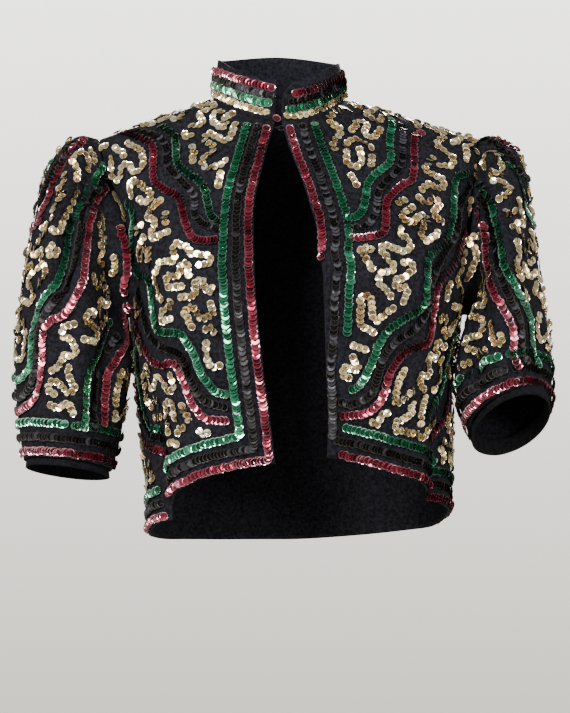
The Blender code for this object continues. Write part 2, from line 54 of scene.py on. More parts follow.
# Sequins by kind, in mm: how wide, how far apart in a row and how high over the cloth. In degrees: how far
# each leans on the next, and how far it strays from that.
COLOURED = dict(wide=8.2, apart=3.6, high=1.5, lean=13, stray=6)
SEQUINS = {
    "gold": dict(wide=7.4, apart=4.9, high=1.3, lean=10, stray=11),
    "green": COLOURED,
    "red": COLOURED,
    "black": COLOURED,
}
SEQUIN_SIDES = 12
# The most degrees by which the lean comes and goes along a row
SWING = 30
# Mm that gold sequins keep from the other rows, and from the earlier ones of their own stroke
CLEAR = 9.8
CLEAR_OWN = 9.3
# Mm from an edge to the first row along it, and from one row to the next
EDGE_GAP = 4.4
ROW_STEP = 12.2
CUFF_ROWS = ((6, "red"), (19.5, "black"), (33, "green"))
# The collar's rows: mm above its seam, how much less at the left front, and how many points short they end,
# since the left front end slopes
COLLAR_ROWS = ((8.5, 4.5, "gold", 0), (17, 6.5, "green", 1), (24.7, 7.5, "black", 2), (31.8, 7, "red", 5))
# In mm: where the red sequin over the hook is, and how far across from the neck's middle the centre back is
HOOK_SEQUIN = (-6, -66.5, -23.5)
CENTRE_BACK = 12
# The left front's edge rolls under: how many mm of it are out of sight at three heights. Then the height
# where each row along it ends, and how many mm from it each row of the hem starts.
ROLL_HEIGHTS = [-260, -200, -120]
ROLL_TAKES = [12, 6.5, 0]
LEFT_ROWS_END = {"red": -154, "black": -400, "green": -224}
LEFT_HEM_STARTS = {"red": 13, "black": 6, "green": 11}
# How many picks each part of the jacket gets for starting a gold stroke
BODY_TRIES = 12000
SLEEVE_TRIES = 4500

# The photograph was taken level, from 2.4 m away. It takes in 0.677 m from top to bottom at the shoulders,
# so one of its pixels is 0.95 mm there.
DISTANCE = 2.4
TAKES_IN = 0.677
PIXELS_WIDE, PIXELS_HIGH = 570, 713
SIGHT = Vector((0.0019, -DISTANCE, -0.2432))
PIXEL = TAKES_IN / PIXELS_HIGH

# Bands of three wavy rows, by a few places each. On the fronts and sleeves the places are pixels of the
# photograph. On the back, which it doesn't show, they are mm from the centre back and above the neck, and
# where a row goes on round the back of a sleeve, degrees from its front and mm above the neck.
BANDS = {
    "fronts": [
        ("green", [(161, 127), (175, 138), (177, 162), (186, 173), (198, 180), (205, 190), (211, 215),
                   (219, 223)]),
        ("black", [(130, 131), (157, 137), (166, 147), (168, 166), (184, 184), (194, 196), (197, 219),
                   (216, 229)]),
        ("red", [(117, 134), (146, 141), (154, 150), (154, 178), (164, 190), (179, 198), (188, 230),
                 (199, 241), (218, 240)]),
        ("green", [(113, 198), (127, 203), (134, 216), (133, 247), (137, 271), (149, 280), (153, 305),
                   (158, 330), (180, 334), (193, 352), (203, 376), (217, 392), (229, 395)]),
        ("black", [(138, 290), (143, 310), (151, 335), (160, 345), (181, 355), (190, 377), (203, 399),
                   (228, 408)]),
        ("red", [(134, 312), (140, 333), (150, 357), (161, 365), (175, 364), (184, 380), (190, 398),
                 (204, 417), (228, 421)]),
        ("green", [(137, 350), (141, 385), (146, 413), (152, 427), (163, 430)]),
        ("black", [(139, 395), (146, 425), (153, 436), (167, 439)]),
        ("red", [(137, 381), (140, 412), (144, 437), (156, 449), (168, 452)]),
        ("green", [(392, 121), (389, 144), (390, 162), (370, 180), (363, 209), (355, 218), (347, 219)]),
        ("black", [(402, 125), (402, 146), (400, 167), (380, 189), (375, 214), (364, 228), (352, 228)]),
        ("red", [(422, 134), (414, 139), (413, 176), (401, 187), (387, 201), (385, 229), (377, 236),
                 (351, 239)]),
        ("green", [(468, 173), (455, 181), (452, 217), (445, 241), (428, 259), (426, 289), (423, 305),
                   (394, 325), (382, 338), (371, 364), (358, 386), (350, 389)]),
        ("black", [(469, 185), (460, 206), (456, 232), (441, 258), (432, 280), (428, 306), (418, 325),
                   (395, 342), (382, 360), (372, 392), (353, 404), (338, 401)]),
        ("red", [(474, 199), (465, 232), (453, 264), (438, 283), (434, 303), (428, 340), (406, 351),
                 (390, 372), (382, 398), (366, 413), (342, 416)]),
        ("green", [(454, 332), (446, 355), (441, 385), (432, 404), (427, 417)]),
        ("red", [(455, 343), (450, 375), (445, 411), (434, 430), (428, 440)]),
    ],
    "sleeve_right": [
        ("green", [(103, 166), (95, 180), (80, 208), (68, 231), (65, 255), (56, 283), (41, 306),
                   (33, 335), (31, 365), (20, 380)],
         [(104, -262), (124, -238), (146, -214), (170, -206), (188, -190)]),
        ("black", [(105, 175), (90, 203), (78, 250), (70, 280), (50, 307), (39, 330), (37, 362),
                   (30, 388), (20, 397)],
         [(106, -277), (128, -251), (150, -227), (174, -219), (194, -204)]),
        ("red", [(105, 188), (92, 214), (86, 250), (82, 283), (67, 312), (46, 326), (43, 362),
                 (37, 396), (20, 411)],
         [(108, -291), (132, -264), (154, -240), (178, -232), (200, -218)]),
        ("green", [(109, 285), (109, 322), (99, 348), (88, 372), (85, 400), (84, 428)]),
        ("black", [(117, 300), (116, 337), (97, 367), (93, 400), (94, 430)]),
        ("red", [(121, 228), (127, 262), (126, 330), (116, 360), (107, 378), (103, 426)]),
        ("green", [(52, 163), (43, 181), (37, 202)],
         [(106, -112), (126, -126), (150, -122), (172, -136)]),
        ("black", [(68, 150), (58, 165), (48, 184), (40, 202), (36, 213)],
         [(102, -121), (124, -138), (150, -135), (176, -150)]),
        ("red", [(84, 140), (65, 158), (56, 178), (50, 196), (42, 212), (38, 224)],
         [(98, -133), (122, -150), (150, -148), (178, -163)]),
        ("green", [], [(186, -314), (190, -290), (206, -262), (228, -244)]),
        ("black", [], [(174, -314), (178, -286), (196, -256), (220, -234)]),
        ("red", [], [(162, -314), (166, -282), (184, -250), (206, -236)]),
    ],
    "sleeve_left": [
        ("green", [(480, 185), (492, 206), (501, 240), (505, 266), (517, 292), (529, 318), (531, 345),
                   (538, 366)]),
        ("black", [(480, 197), (491, 223), (494, 240), (498, 268), (508, 295), (520, 323), (521, 348),
                   (527, 364)]),
        ("red", [(478, 210), (484, 230), (488, 262), (492, 288), (505, 312), (513, 332), (513, 354),
                 (518, 367)]),
        ("green", [(473, 142), (494, 150), (511, 168), (521, 188), (526, 213)],
         [(-100, -124), (-120, -140), (-144, -138), (-166, -152)]),
        ("black", [(482, 141), (498, 146), (510, 157), (518, 171)],
         [(-102, -96), (-119, -117), (-143, -117), (-167, -131)]),
        ("red", [(492, 139), (502, 144)],
         [(-84, -52), (-100, -74), (-118, -95), (-142, -96), (-168, -110)]),
        ("green", [], [(-92, -254), (-112, -226), (-140, -204), (-168, -200), (-190, -186)]),
        ("black", [], [(-106, -256), (-124, -237), (-146, -217), (-172, -213), (-196, -199)]),
        ("red", [], [(-120, -258), (-135, -247), (-150, -231), (-175, -226), (-202, -212)]),
    ],
    "back": [
        ("green", [(108, -22), (100, -48), (86, -62), (84, -88), (66, -104), (60, -128), (30, -140)]),
        ("black", [(120, -28), (112, -56), (98, -74), (95, -98), (78, -116), (70, -142), (34, -153)]),
        ("red", [(132, -33), (125, -64), (110, -84), (106, -110), (90, -128), (80, -156), (40, -166)]),
        ("green", [(164, -92), (150, -112), (148, -146), (130, -166), (126, -200), (102, -222),
                   (94, -256), (70, -280), (56, -318), (28, -334)]),
        ("black", [(168, -112), (160, -130), (158, -158), (141, -178), (136, -212), (113, -234),
                   (104, -268), (82, -292), (68, -330), (34, -347)]),
        ("red", [(170, -140), (168, -168), (152, -190), (147, -222), (124, -246), (115, -280),
                 (94, -304), (80, -342), (40, -360)]),
    ],
}

# Folds: from the front in the photograph's pixels or from the back in mm, then half the
# width and the rise in mm, less than none in a trough
CREASES = {
    "sleeve_right": [
        ("front", [(92, 150), (82, 185), (69, 230), (63, 285)], 6, -15),
        ("front", [(104, 160), (99, 185), (96, 210)], 4, -8),
        ("front", [(108, 185), (109, 235), (111, 300)], 8, -18),
        ("front", [(64, 158), (54, 190), (46, 225)], 5, -4),
        ("front", [(80, 200), (82, 250), (78, 300)], 8, 4),
        ("front", [(98, 215), (98, 260), (94, 310)], 7, 4),
        ("front", [(52, 240), (48, 290), (44, 340)], 9, 3),
        ("front", [(110, 320), (106, 365), (100, 410)], 8, -9),
        ("front", [(116, 265), (117, 325), (119, 395)], 14, 12),
        ("front", [(84, 141), (70, 150), (58, 164)], 9, -5),
        ("front", [(70, 330), (62, 372), (60, 405)], 8, -4),
        ("front", [(38, 350), (34, 385), (32, 412)], 7, -3),
        ("front", [(90, 330), (80, 370), (76, 410)], 8, 3),
        ("back", [(-170, -70), (-176, -130), (-182, -190)], 7, -8),
        ("back", [(-190, -60), (-202, -120), (-212, -200)], 6, -6),
        ("back", [(-212, -80), (-226, -140), (-232, -210)], 6, -5),
        ("back", [(-200, -200), (-206, -250), (-212, -310)], 8, -5),
        ("back", [(-180, -230), (-178, -270), (-182, -320)], 8, -6),
        ("back", [(-186, -110), (-192, -170), (-196, -240)], 8, 3),
    ],
    "sleeve_left": [
        ("front", [(527, 190), (532, 240), (535, 280), (539, 320), (544, 365)], 22, -6.5),
        ("front", [(473, 205), (474, 250), (476, 300)], 7, -15),
        ("front", [(480, 178), (488, 215), (496, 255), (500, 285)], 5, -12),
        ("front", [(498, 165), (509, 190), (515, 230)], 5, -5),
        ("front", [(482, 165), (486, 190), (490, 205)], 4, -3),
        ("front", [(484, 225), (485, 265), (490, 300)], 7, 4),
        ("front", [(506, 215), (508, 260), (514, 300)], 8, 3),
        ("front", [(470, 305), (474, 345), (480, 385)], 7, -14),
        ("front", [(468, 265), (464, 325), (464, 395)], 13, 12),
        ("front", [(494, 144), (506, 154), (517, 172)], 10, -6),
        ("front", [(540, 335), (546, 380)], 14, -8),
        ("front", [(486, 300), (492, 335), (500, 365)], 6, -4),
        ("front", [(524, 250), (528, 300), (534, 345)], 7, -3),
        ("back", [(186, -66), (192, -126), (198, -186)], 7, -8),
        ("back", [(206, -60), (217, -118), (226, -180)], 6, -6),
        ("back", [(228, -84), (238, -136), (242, -190)], 6, -4),
        ("back", [(206, -180), (213, -230), (220, -280)], 8, -5),
        ("back", [(190, -200), (190, -240), (196, -285)], 8, -5),
        ("back", [(200, -105), (208, -165), (212, -220)], 8, 3),
    ],
    "front_right": [
        ("front", [(144, 136), (145, 155), (146, 174)], 1.6, 1.0),
        ("front", [(150, 178), (172, 230), (196, 262)], 14, 1.5),
        ("front", [(134, 240), (146, 290), (158, 330)], 12, -2),
        ("front", [(130, 280), (133, 340), (138, 400)], 11, 5),
        ("front", [(166, 400), (180, 440), (184, 470)], 10, -2),
    ],
    "front_left": [
        ("front", [(431, 134), (432, 155), (433, 176)], 1.6, 1.0),
        ("front", [(420, 180), (396, 232), (372, 262)], 14, 1.5),
        ("front", [(446, 240), (434, 290), (424, 330)], 12, -2),
        ("front", [(454, 280), (451, 340), (447, 400)], 11, 5),
        ("front", [(424, 390), (414, 425), (410, 450)], 10, -2),
    ],
    "back": [
        ("back", [(-120, -95), (-90, -150), (-70, -210)], 16, -2.5),
        ("back", [(128, -95), (104, -150), (86, -210)], 16, -2.5),
        ("back", [(-60, -290), (-66, -350), (-64, -410)], 14, -3),
        ("back", [(74, -280), (84, -345), (86, -405)], 14, -3),
        ("back", [(8, -300), (10, -360), (14, -418)], 16, 2.5),
    ],
}
# The fine gathers round a sleeve's head, and in mm how high and how far from the seam they stand proudest
GATHERS = 27
GATHER_RISE = 1.9
GATHER_CREST = 12
# Cloth within this many metres of the armhole is the seam
SEAM_REACH = 0.0035
# Mm by which the collar's rim goes down over the neck edge
COLLAR_LAP = 1.8
# Crepe's grain is some 0.4 mm. It is drawn at 1.5 mm so that it shows.
CREPE_GRAIN = 1.5
# A face that looks this much away from its axis is on the outer side of the wall
OUTER = 0.22
# Metres: how far out a look in at the cloth starts, and a side of the cubes that sewn places are kept by
LOOK_FROM = 0.35
CUBE = 0.010


def to_linear(code):
    """An sRGB hex colour as linear values for a shader."""
    parts = [int(code[i : i + 2], 16) / 255 for i in (1, 3, 5)]
    return (*[p / 12.92 if p <= 0.04045 else ((p + 0.055) / 1.055) ** 2.4 for p in parts], 1.0)


def select_only(piece):
    """Selects one piece alone, or nothing."""
    if bpy.context.object and bpy.context.object.mode != "OBJECT":
        bpy.ops.object.mode_set(mode="OBJECT")
    bpy.ops.object.select_all(action="DESELECT")
    bpy.context.view_layer.objects.active = piece
    if piece:
        piece.select_set(True)


# Materials


def add_node(tree, kind, settings=None, **links):
    """One node with its settings, and links to its inputs by name with spaces as underscores."""
    node = tree.nodes.new(kind)
    for key, value in (settings or {}).items():
        if hasattr(node, key):
            setattr(node, key, value)
        else:
            node.inputs[key].default_value = value
    for key, source in links.items():
        tree.links.new(source, node.inputs[key.replace("_", " ")])
    return node


def new_material(name, roughness, metallic=0.0, **sockets):
    """A material, its nodes and its shader, which has some sockets set by name."""
    material = bpy.data.materials.new(name)
    material.use_nodes = True
    shader = material.node_tree.nodes["Principled BSDF"]
    shader.inputs["Roughness"].default_value = roughness
    shader.inputs["Metallic"].default_value = metallic
    for key, value in sockets.items():
        shader.inputs[key.replace("_", " ")].default_value = value
    return material, material.node_tree, shader


def crepe(name, dark, light):
    """Dress crepe, woven of tightly twisted yarn: matt and pebbly, with a faint bloom at grazing light."""
    bloom = dict(Sheen_Weight=0.01, Sheen_Roughness=0.5, Specular_IOR_Level=0.07)
    material, tree, shader = new_material(name, 0.86, **bloom)
    where = add_node(tree, "ShaderNodeTexCoord").outputs["Object"]
    grain = {"Scale": 1000 / CREPE_GRAIN / 2, "Detail": 3.0, "Roughness": 0.6}
    pebble = add_node(tree, "ShaderNodeTexNoise", grain, Vector=where)
    worn = add_node(tree, "ShaderNodeTexNoise", {"Scale": 22.0, "Detail": 3.0}, Vector=where)
    mixed = add_node(tree, "ShaderNodeMath", {"operation": "MULTIPLY_ADD"})
    tree.links.new(worn.outputs["Fac"], mixed.inputs[0])
    mixed.inputs[1].default_value = 0.2
    tree.links.new(pebble.outputs["Fac"], mixed.inputs[2])
    shades = add_node(tree, "ShaderNodeValToRGB")
    tree.links.new(mixed.outputs[0], shades.inputs["Fac"])
    shades.color_ramp.elements[0].position = 0.46
    shades.color_ramp.elements[0].color = to_linear(dark)
    shades.color_ramp.elements[1].position = 0.74
    shades.color_ramp.elements[1].color = to_linear(light)
    tree.links.new(shades.outputs["Color"], shader.inputs["Base Color"])
    relief = {"Strength": 0.5, "Distance": 0.0004}
    raised = add_node(tree, "ShaderNodeBump", relief, Height=pebble.outputs["Fac"])
    tree.links.new(raised.outputs["Normal"], shader.inputs["Normal"])
    return material


def sequin_finish(name, shades, rim, roughness, metallic, coat, specular=0.5):
    """A pressed sequin, lacquered over metal foil: each one a little paler, darker or more worn."""
    lacquer = dict(Coat_Weight=coat, Coat_Roughness=0.1, Specular_IOR_Level=specular)
    material, tree, shader = new_material(name, roughness, metallic, **lacquer)
    dull, usual, bright = [to_linear(code) for code in shades]
    tone = add_node(tree, "ShaderNodeAttribute", {"attribute_name": "tone"}).outputs["Fac"]
    shade = add_node(tree, "ShaderNodeValToRGB", Fac=tone)
    ramp = shade.color_ramp
    ramp.elements[0].color = dull
    ramp.elements[1].color = bright
    for place in (0.4, 0.75):
        ramp.elements.new(place).color = usual
    # The cut edge has lost its foil, and shows as a dusty paler line
    edge = add_node(tree, "ShaderNodeAttribute", {"attribute_name": "rim"}).outputs["Fac"]
    dusty = {"Color2": to_linear(rim)}
    both = add_node(tree, "ShaderNodeMixRGB", dusty, Fac=edge, Color1=shade.outputs["Color"])
    tree.links.new(both.outputs["Color"], shader.inputs["Base Color"])
    wear = {"To Min": roughness * 1.5, "To Max": roughness * 0.7}
    gloss = add_node(tree, "ShaderNodeMapRange", wear, Value=tone)
    tree.links.new(gloss.outputs["Result"], shader.inputs["Roughness"])
    return material


def mottled(name, dark, light, scale, roughness, metallic=0.0):
    """A plain stuff, a little uneven: its shade and its gloss wander over it."""
    material, tree, shader = new_material(name, roughness, metallic)
    where = add_node(tree, "ShaderNodeTexCoord").outputs["Object"]
    patches = {"Scale": scale, "Detail": 3.0}
    wear = add_node(tree, "ShaderNodeTexNoise", patches, Vector=where).outputs["Fac"]
    shades = {"Color1": to_linear(dark), "Color2": to_linear(light)}
    shade = add_node(tree, "ShaderNodeMixRGB", shades, Fac=wear)
    tree.links.new(shade.outputs["Color"], shader.inputs["Base Color"])
    spread = {"To Min": roughness * 0.8, "To Max": roughness * 1.2}
    gloss = add_node(tree, "ShaderNodeMapRange", spread, Value=wear)
    tree.links.new(gloss.outputs["Result"], shader.inputs["Roughness"])
    return material


BLACK_CREPE = crepe("black dress crepe", "#08080a", "#1b1b21")
FACING_CREPE = crepe("black facing crepe", "#060607", "#131317")
# Foil shines through coloured lacquer. None shows through the black, which has only a soft gloss.
CHAMPAGNE = ("#a07a52", "#d4ba82", "#f8efd4")
EMERALD = ("#07331d", "#0c7048", "#33a67a")
WINE = ("#3c0e18", "#871e33", "#b93954")
JET = ("#050505", "#090909", "#3a3a40")
FINISHES = {
    "gold": sequin_finish("champagne gold sequin", CHAMPAGNE, "#f4e8c6", 0.17, 0.85, 0.3),
    "green": sequin_finish("emerald sequin", EMERALD, "#86ae98", 0.17, 0.8, 0.5),
    "red": sequin_finish("wine red sequin", WINE, "#b07f89", 0.17, 0.8, 0.5),
    "black": sequin_finish("black sequin", JET, "#2b2725", 0.26, 0.0, 0.0, 0.09),
}
# Iron wire under black lacquer, rubbed grey here and there
WIRE = mottled("japanned wire", "#0f0f12", "#26262b", 900.0, 0.35, 0.4)
# Cotton thread, duller where its twist opens
THREAD = mottled("black sewing thread", "#0c0c0e", "#1b1b1e", 700.0, 0.8)


# Cloth


def away_from(axis, place):
    """The direction from an axis to a place, square to the axis."""
    low, high = AXES[axis]
    way = (high - low).normalized()
    off = place - low
    return (off - way * off.dot(way)).normalized()


def cloth_from(node, name, material):
    """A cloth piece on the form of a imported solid, with its triangles joined up and rounded off."""
    source = bpy.data.objects[node]
    piece = bpy.data.objects.new(name, source.data.copy())
    bpy.context.collection.objects.link(piece)
    piece.data.materials.clear()
    piece.data.materials.append(material)
    select_only(piece)
    bpy.ops.object.mode_set(mode="EDIT")
    bpy.ops.mesh.select_all(action="SELECT")
    bpy.ops.mesh.remove_doubles(threshold=0.00002)
    bpy.ops.mesh.tris_convert_to_quads(face_threshold=math.radians(60), shape_threshold=math.radians(60))
    bpy.ops.mesh.select_all(action="DESELECT")
    bpy.ops.mesh.select_mode(type="EDGE")
    bpy.ops.mesh.edges_select_sharp(sharpness=math.radians(55))
    bpy.ops.transform.edge_crease(value=1.0)
    bpy.ops.mesh.select_all(action="DESELECT")
    bpy.ops.object.mode_set(mode="OBJECT")
    rounding = piece.modifiers.new("rounding", "SUBSURF")
    rounding.levels = 2
    rounding.render_levels = 2
    bpy.ops.object.modifier_apply(modifier=rounding.name)
    piece.data.shade_smooth()
    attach(piece, "root")
    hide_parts(node)
    return piece


def places_of(piece):
    """Where a mesh's vertices are, as rows of an array."""
    places = np.empty(len(piece.data.vertices) * 3)
    piece.data.vertices.foreach_get("co", places)
    return places.reshape(-1, 3)


def outward(places, axis):
    """For many places: directions out of an axis, and turns round it from the front."""
    low, high = [np.array(end) for end in AXES[axis]]
    way = (high - low) / np.linalg.norm(high - low)
    off = places - low
    out = off - (off @ way)[:, None] * way
    out /= np.linalg.norm(out, axis=1, keepdims=True)
    return out, np.arctan2(out[:, 0], -out[:, 1])


def press_creases(node, axis, creases):
    """Soft troughs and ridges in a cloth through two or more places: half width and rise in mm."""
    piece = cloth[node]
    outside = Outside(node)
    places = places_of(piece)
    out, _ = outward(places, axis)
    moved = np.zeros(len(places))
    for view, spots, half_width, rise in creases:
        if view == "front":
            points = [outside.pictured(spot) for spot in spots]
        else:
            points = [outside.behind(x, z) for x, z in spots]
        points = [np.array(point) for point in points if point]
        if len(points) < 2:
            continue
        best = np.full(len(places), 1.0)
        share = np.zeros(len(places))
        for number, (start, end) in enumerate(zip(points, points[1:])):
            along = end - start
            t = np.clip((places - start) @ along / (along @ along), 0, 1)
            across = np.linalg.norm(places - start - t[:, None] * along, axis=1)
            nearer = across < best
            share[nearer] = ((number + t) / (len(points) - 1))[nearer]
            best = np.minimum(best, across)
        # A fold dies out towards both its ends
        fade = np.sin(np.pi * (0.1 + 0.8 * share)) ** 0.6
        moved += rise * MM * fade * np.exp(-0.5 * (best / (half_width * MM)) ** 2)
    piece.data.vertices.foreach_set("co", (places + out * moved[:, None]).ravel())
    piece.data.update()


def gather_head(side):
    """Fine gathers, unevenly spaced, that fan out of the seam at a sleeve's head."""
    node = f"sleeve_{side}"
    piece = cloth[node]
    places = places_of(piece)
    seam = KDTree(len(places))
    for number, place in enumerate(places):
        _, _, _, far = body_cloth.find_nearest(Vector(place))
        if far < SEAM_REACH:
            seam.insert(Vector(place), number)
    seam.balance()
    far = np.array([seam.find(Vector(place))[2] for place in places]) / MM
    out, turn = outward(places, node)
    profile = far / GATHER_CREST * np.exp(1 - far / GATHER_CREST)
    # They start 175 mm below the neck and have their full depth 60 mm higher
    upper = np.clip((places[:, 2] / MM + 175) / 60, 0, 1)
    beat = GATHERS * turn + 1.3 * np.sin(3 * turn + 0.4) + 0.7 * np.sin(7 * turn)
    moved = GATHER_RISE * MM * profile * upper * np.sin(beat) * (0.75 + 0.25 * np.sin(2 * turn + 1))
    piece.data.vertices.foreach_set("co", (places + out * moved[:, None]).ravel())
    piece.data.update()


def lap_collar():
    """The collar's lower rim drawn down over the neck edge that it is sewn to, so that no light shows."""
    piece = cloth["collar"]
    for vertex in piece.data.vertices:
        _, _, _, far = body_cloth.find_nearest(vertex.co)
        vertex.co.z -= max(0.0, COLLAR_LAP * MM - far / 3)
    piece.data.update()


CLOTH_NAMES = {
    "front_right": "right_front_cloth",
    "front_left": "left_front_cloth",
    "back": "back_cloth",
    "collar": "collar_cloth",
    "sleeve_right": "right_sleeve_cloth",
    "sleeve_left": "left_sleeve_cloth",
    "cuff_facing_right": "right_cuff_facing_cloth",
    "cuff_facing_left": "left_cuff_facing_cloth",
}
cloth = {}
for node, name in CLOTH_NAMES.items():
    cloth[node] = cloth_from(node, name, FACING_CREPE if "facing" in node else BLACK_CREPE)
for node in ("neck_hook", "neck_eye"):
    wire = bpy.data.objects[node]
    wire.data.materials.clear()
    wire.data.materials.append(WIRE)


# Sewing on


class Outside:
    """The outer face of some cloth pieces, on which sequins are sewn."""

    def __init__(self, *nodes):
        places, faces = [], []
        self.middles, self.sizes = [], []
        for node in nodes:
            mesh = cloth[node].data
            axis = node if node in AXES else "body"
            start = len(places)
            places += [vertex.co.copy() for vertex in mesh.vertices]
            for face in mesh.polygons:
                if face.normal.dot(away_from(axis, face.center)) > OUTER:
                    faces.append([start + corner for corner in face.vertices])
                    self.middles.append(face.center.copy())
                    self.sizes.append(face.area)
        self.tree = BVHTree.FromPolygons(places, faces)

    def settle(self, place, out=None):
        """The nearest place on the cloth's outer face, and the direction out of it there."""
        near, normal, _, _ = self.tree.find_nearest(place)
        # A face that turns off sharply is an edge, and a sequin there lies as the one before it
        if out is not None and normal.dot(out) < 0.3:
            normal = out
        return near, normal

    def seen(self, start, way):
        """Where a line of sight meets the cloth's outer face from outside."""
        near, normal, _, _ = self.tree.ray_cast(start, way)
        return near if near and normal.dot(way) < 0 else None

    def pictured(self, spot):
        """The place on the cloth that shows at a pixel of the photograph."""
        across = (spot[0] - PIXELS_WIDE / 2) * PIXEL
        down = (spot[1] - PIXELS_HIGH / 2) * PIXEL
        target = Vector((SIGHT.x + across, 0, SIGHT.z - down))
        return self.seen(SIGHT, (target - SIGHT).normalized())

    def behind(self, x, z):
        """The place that shows from straight behind, by mm across and up."""
        return self.seen(Vector((x, 400, z)) * MM, Vector((0, -1, 0)))

    def round(self, low, high, turn, along):
        """The place that shows from one side of an axis: degrees from its front, mm from its low end."""
        way = (high - low).normalized()
        front = (Vector((0, -1, 0)) + way * way.y).normalized()
        right = way.cross(front)
        side = front * math.cos(math.radians(turn)) - right * math.sin(math.radians(turn))
        return self.seen(low + way * (along * MM) + side * LOOK_FROM, -side)

    def rim(self, low, high, turns, climb):
        """Places along the cloth's lower rim, looking in at an upright axis from each side in turn."""
        low, high = Vector(low) * MM, Vector(high) * MM
        found = []
        for turn in turns:
            for step in range(int(150 / climb)):
                spot = self.round(low, high, turn, step * climb)
                if spot:
                    found.append(spot)
                    break
        for _ in range(2):
            smooth = [(a + b * 2 + c) / 4 for a, b, c in zip(found, found[1:], found[2:])]
            found = [found[0], *smooth, found[-1]]
        return found


sewn = {}
rows = {}


def cube_of(place):
    """The cube of space that a place is in."""
    return tuple(int(math.floor(c / CUBE)) for c in place)


def keep_sewn(places):
    """Marks places as taken, for the gold strokes to keep clear of."""
    for place in places:
        sewn.setdefault(cube_of(place), []).append(place)


def nearest_sewn(place):
    """How far the nearest sequin of another row is, of those within a centimetre."""
    best = 1.0
    x, y, z = cube_of(place)
    for i in (-1, 0, 1):
        for j in (-1, 0, 1):
            for k in (-1, 0, 1):
                for other in sewn.get((x + i, y + j, z + k), ()):
                    best = min(best, (other - place).length)
    return best


def sew(kind, panel, line):
    """Keeps a row of places and directions out, for the sequins of one kind on a panel."""
    rows.setdefault((kind, panel), []).append(line)
    keep_sewn(place for place, _ in line)


def drawn_through(points, apart, uneven=0.0):
    """A smooth curve through some points, as places apart by a distance that may vary slowly."""
    points = [Vector(p) for p in points]
    ends = [points[0] * 2 - points[1], *points, points[-1] * 2 - points[-2]]
    fine = []
    for a, b, c, d in zip(ends, ends[1:], ends[2:], ends[3:]):
        for step in range(12):
            t = step / 12
            twice = 2 * b + (c - a) * t + (2 * a - 5 * b + 4 * c - d) * t**2 + (3 * b - a - 3 * c + d) * t**3
            fine.append(0.5 * twice)
    fine.append(points[-1])
    beat, phase = chance.uniform(0.08, 0.2), chance.uniform(0, math.tau)
    even, left = [fine[0]], apart
    for a, b in zip(fine, fine[1:]):
        length = (b - a).length
        while length >= left:
            a = a + (b - a) * (left / length)
            even.append(a)
            length -= left
            left = apart * (1 + uneven * math.sin(phase + beat * len(even)))
        left -= length
    return even


def laid(outside, points, apart, uneven=0.0):
    """A row laid on the cloth through some points near it."""
    line = []
    for place in drawn_through(points, apart, uneven):
        out = line[-1][1] if line else None
        line.append(outside.settle(place, out))
    return line


def beside(outside, line, gap, towards):
    """Places to one side of a line over the cloth, at a gap that may change, less those beyond its edges."""
    towards = Vector(towards)
    points = []
    for step, (place, out) in enumerate(line):
        off = gap(place) if callable(gap) else gap
        # Hops of up to 4 mm follow the cloth's curve
        hops = max(1, math.ceil(off / 4))
        before, after = line[max(step - 2, 0)][0], line[min(step + 2, len(line) - 1)][0]
        along = (after - before).normalized()
        on_cloth = True
        for hop in range(hops):
            side = out.cross(along)
            if side.dot(towards) < 0:
                side = -side
            last = place
            place, out = outside.settle(place + side.normalized() * (off / hops * MM), out)
            # A hop that falls short has met an edge
            if hop and (place - last).length < 0.6 * off / hops * MM:
                on_cloth = False
        if on_cloth:
            points.append(place)
    return points


def row(kind, outside, points):
    """A row of coloured sequins through some places."""
    return laid(outside, points, SEQUINS[kind]["apart"] * MM, 0.25)


def thinned(points):
    """Every third of many close places, and the last one."""
    return points[::3] + points[-1:]


def edge_gap(side, order):
    """How far in from a front edge a row runs. The left edge rolls under, the right rows draw in upwards."""

    def gap(place):
        height = place.z / MM
        if side == "left":
            return max(EDGE_GAP + order * ROW_STEP - np.interp(height, ROLL_HEIGHTS, ROLL_TAKES), 0.5)
        return EDGE_GAP + order * ROW_STEP * np.interp(height, [-156, -112, -20], [1, 0.88, 0.78])

    return gap


body_cloth = Outside("front_right", "front_left", "back").tree
for node, creases in CREASES.items():
    press_creases(node, node if node in AXES else "body", creases)
for side in ("right", "left"):
    gather_head(side)
lap_collar()

body = Outside("front_right", "front_left", "back")
front = {side: Outside(f"front_{side}") for side in ("right", "left")}
back = Outside("back")
panels = {"front_right": front["right"], "front_left": front["left"], "back": back}
collar = Outside("collar")
sleeve = {side: Outside(f"sleeve_{side}") for side in ("right", "left")}


def sew_bands():
    """The wavy bands on the fronts and sleeves, and others like them on the back."""
    for panel, charted in BANDS.items():
        outside = body if panel in ("fronts", "back") else sleeve[panel.split("_")[1]]
        for kind, spots, *further in charted:
            if panel == "back":
                for side in (-1, 1):
                    places = [back.behind(CENTRE_BACK + side * off, z) for off, z in spots]
                    places = [p for p in places if p]
                    sew(kind, "back", row(kind, outside, places))
                continue
            places = [outside.pictured(spot) for spot in spots]
            for turn, height in further[0] if further else []:
                low, high = AXES[panel]
                places.append(outside.round(low, high, turn, height - low.z / MM))
            places = [p for p in places if p]
            if len(places) > 1:
                sew(kind, panel, row(kind, outside, places))


def clear_of(points, others, distance):
    """The points that stay off some other ones."""
    kept = []
    for point in points:
        if all((point - other).length > distance * MM for other in others):
            kept.append(point)
    return kept


def level_run(points):
    """A rim without the ends where it climbs up a side seam."""
    for end, beside_end in ((-1, -2), (0, 1)):
        while len(points) > 6 and abs((points[end] - points[beside_end]).normalized().z) > 0.55:
            points.pop(end)
    return points


